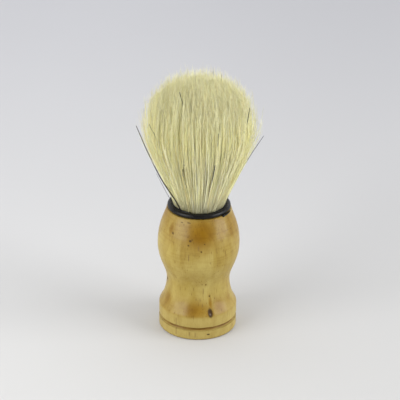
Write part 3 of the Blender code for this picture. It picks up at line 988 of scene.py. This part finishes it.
def resin_material():
    made, tree, inputs = material("root_resin")
    clouds = noise(tree, millimetres(tree), 0.5, 4.0)
    roots = noise(tree, millimetres(tree, (1.0, 1.0, 0.1)), 3.5, 2.0)
    colour = blend(tree, remap(tree, clouds, 0.3, 0.7), (0.20, 0.13, 0.06), (0.34, 0.25, 0.13))
    colour = blend(tree, remap(tree, roots, 0.5, 0.65, 0.0, 0.5), colour, (0.55, 0.48, 0.30))
    connect(tree, inputs, {
        "Base Color": colour,
        "Roughness": remap(tree, clouds, 0.3, 0.7, 0.28, 0.45),
        "Normal": bump(tree, roots, 0.0001, 0.4),
    })
    return made


def thread_material():
    made, tree, inputs = material("waxed_thread")
    strands = noise(tree, millimetres(tree, (1.0, 1.0, 2.5)), 3.0, 3.0)
    soil = noise(tree, millimetres(tree), 0.4, 3.0)
    colour = blend(tree, remap(tree, strands, 0.35, 0.65), (0.42, 0.37, 0.27), (0.66, 0.61, 0.50))
    connect(tree, inputs, {
        "Base Color": blend(tree, remap(tree, soil, 0.5, 0.8, 0.0, 0.5), colour, (0.36, 0.27, 0.15)),
        "Roughness": remap(tree, strands, 0.3, 0.7, 0.65, 0.85),
        "Sheen Weight": 0.3,
        "Normal": bump(tree, strands, 0.00008, 0.6),
    })
    return made


def dress_hidden_nodes():
    """Finishes for the CAD nodes that keep their own shapes, down in the socket."""
    finishes = {
        "socket_glue": glue_material(),
        "root_plug": resin_material(),
        "binding_thread": thread_material(),
    }
    for node, finish in finishes.items():
        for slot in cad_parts[node].material_slots:
            slot.material = finish


# ---------------------------------------------------------------- stage, light and camera

FLOOR_RADIUS = 3.0
FLOOR_RINGS = 24
FLOOR_STEPS = 96
# Softboxes: azimuth from the front, height of the centre, distance, width, height, power
SOFTBOXES = {
    "softbox_left": (-54.0, 0.30, 0.90, 0.72, 0.66, 7.3),
    "softbox_right": (73.0, 0.30, 0.90, 0.68, 0.66, 7.7),
}
LIGHT_TARGET = (0.0, 0.0, 0.12)
TOP_LIGHT = (1.6, 1.7, 5.7)  # height, side and power
# The floor's colour paints the fall of the light: warmer and paler near the brush, greyer and bluer far
# back
FLOOR_NEAR, FLOOR_FAR = (0.655, 0.65, 0.64), (0.597, 0.597, 0.62)
SKY_LOW, SKY_HIGH = (1.08, 1.09, 1.11), (0.60, 0.61, 0.63)
ROOM_DIM = (0.20, 0.19, 0.18)


def make_floor():
    ring = np.arange(1, FLOOR_RINGS + 1) / FLOOR_RINGS
    radius = (FLOOR_RADIUS * ring**2)[:, None]
    azimuth = np.linspace(-180.0, 180.0, FLOOR_STEPS, endpoint=False)[None, :]
    points = around(azimuth, radius, 0.0 * radius).reshape(-1, 3)
    points = np.concatenate([points, np.zeros((1, 3))])
    index = np.arange(FLOOR_RINGS * FLOOR_STEPS).reshape(FLOOR_RINGS, FLOOR_STEPS)
    index = np.concatenate([index, index[:, :1]], 1)
    hub = np.full(FLOOR_STEPS, len(points) - 1)
    middle = np.stack([hub, index[0, :-1], index[0, 1:]], -1)
    floor = mesh_object("floor", points, strip(index), middle)
    work = bmesh.new()
    work.from_mesh(floor.data)
    bmesh.ops.recalc_face_normals(work, faces=work.faces)
    if work.faces[0].normal.z < 0:
        bmesh.ops.reverse_faces(work, faces=work.faces)
    work.to_mesh(floor.data)
    work.free()

    made, tree, inputs = material("studio_sweep")
    place = add(tree, "SeparateXYZ", {0: millimetres(tree)}).outputs
    paper = noise(tree, millimetres(tree), 0.02, 3.0)
    # painted light falloff: darker and bluer farther back, and darker to the right
    near_to_far = remap(tree, place[1], -120.0, 420.0)
    to_right = remap(tree, place[0], -90.0, 110.0)
    colour = blend(tree, near_to_far, FLOOR_NEAR, FLOOR_FAR)
    colour = blend(tree, to_right, colour, (0.90, 0.90, 0.90), "MULTIPLY")
    connect(tree, inputs, {
        "Base Color": blend(tree, remap(tree, paper, 0.3, 0.7, 0.0, 0.03), colour, (0.5, 0.5, 0.5)),
        "Roughness": 0.75,
        "Specular IOR Level": 0.2,
    })
    floor.data.materials.append(made)


def make_world():
    """A pale studio all round, with the unlit room straight ahead of the brush."""
    world = bpy.data.worlds.new("studio")
    bpy.context.scene.world = world
    world.use_nodes = True
    tree = world.node_tree
    way = add(tree, "SeparateXYZ", {0: add(tree, "TexCoord").outputs["Generated"]}).outputs
    azimuth = sums(tree, "ARCTAN2", way[0], sums(tree, "MULTIPLY", way[1], -1.0))
    left = remap(tree, azimuth, math.radians(-40.0), math.radians(-22.0))
    right = remap(tree, azimuth, math.radians(62.0), math.radians(44.0))
    low = remap(tree, way[2], math.sin(math.radians(66.0)), math.sin(math.radians(48.0)))
    dim = sums(tree, "MULTIPLY", sums(tree, "MULTIPLY", left, right), low)
    high = remap(tree, way[2], math.sin(math.radians(5.0)), math.sin(math.radians(65.0)))
    pale = blend(tree, high, SKY_LOW, SKY_HIGH)
    colour = blend(tree, dim, pale, ROOM_DIM)
    background = tree.nodes["Background"]
    tree.links.new(colour, background.inputs["Color"])


def area_light(name, place, target, width, height, power):
    data = bpy.data.lights.new(name, "AREA")
    data.shape = "RECTANGLE"
    data.size = width
    data.size_y = height
    data.energy = power
    light = bpy.data.objects.new(name, data)
    bpy.context.scene.collection.objects.link(light)
    light.location = place
    light.rotation_euler = (Vector(target) - Vector(place)).to_track_quat("-Z", "Y").to_euler()
    light.visible_camera = False


def make_lights():
    for name, (azimuth, height, distance, width, tall, power) in SOFTBOXES.items():
        place = around(azimuth, distance, height)
        area_light(name, place, LIGHT_TARGET, width, tall, power)
    height, side, power = TOP_LIGHT
    area_light("overhead", (0.0, 0.0, height), (0.0, 0.0, 0.0), side, side, power)


def make_camera():
    data = bpy.data.cameras.new("camera")
    data.lens = CAMERA_LENS
    data.clip_start = 0.05
    data.clip_end = 20.0
    camera = bpy.data.objects.new("camera", data)
    bpy.context.scene.collection.objects.link(camera)
    elevation = math.radians(CAMERA_ELEVATION)
    back = Vector((0.0, -math.cos(elevation), math.sin(elevation)))
    tilt = math.radians(90.0 - CAMERA_ELEVATION + CAMERA_PITCH_UP)
    camera.matrix_world = (
        Matrix.Translation(Vector(CAMERA_TARGET) + CAMERA_DISTANCE * back)
        @ Matrix.Rotation(math.radians(-CAMERA_YAW_RIGHT), 4, "Z")
        @ Matrix.Rotation(tilt, 4, "X")
        @ Matrix.Rotation(math.radians(CAMERA_ROLL), 4, "Z"))
    bpy.context.scene.camera = camera


# ---------------------------------------------------------------- build

make_handle(wood_material())
collar_black = black_material()
make_collar(collar_black)
make_smear(collar_black)
boar_bristle = bristle_material()
make_bristles(boar_bristle)
make_dark_bristles(boar_bristle)
dress_hidden_nodes()
make_floor()
make_world()
make_lights()
make_camera()
bpy.context.scene.view_settings.view_transform = "Standard"
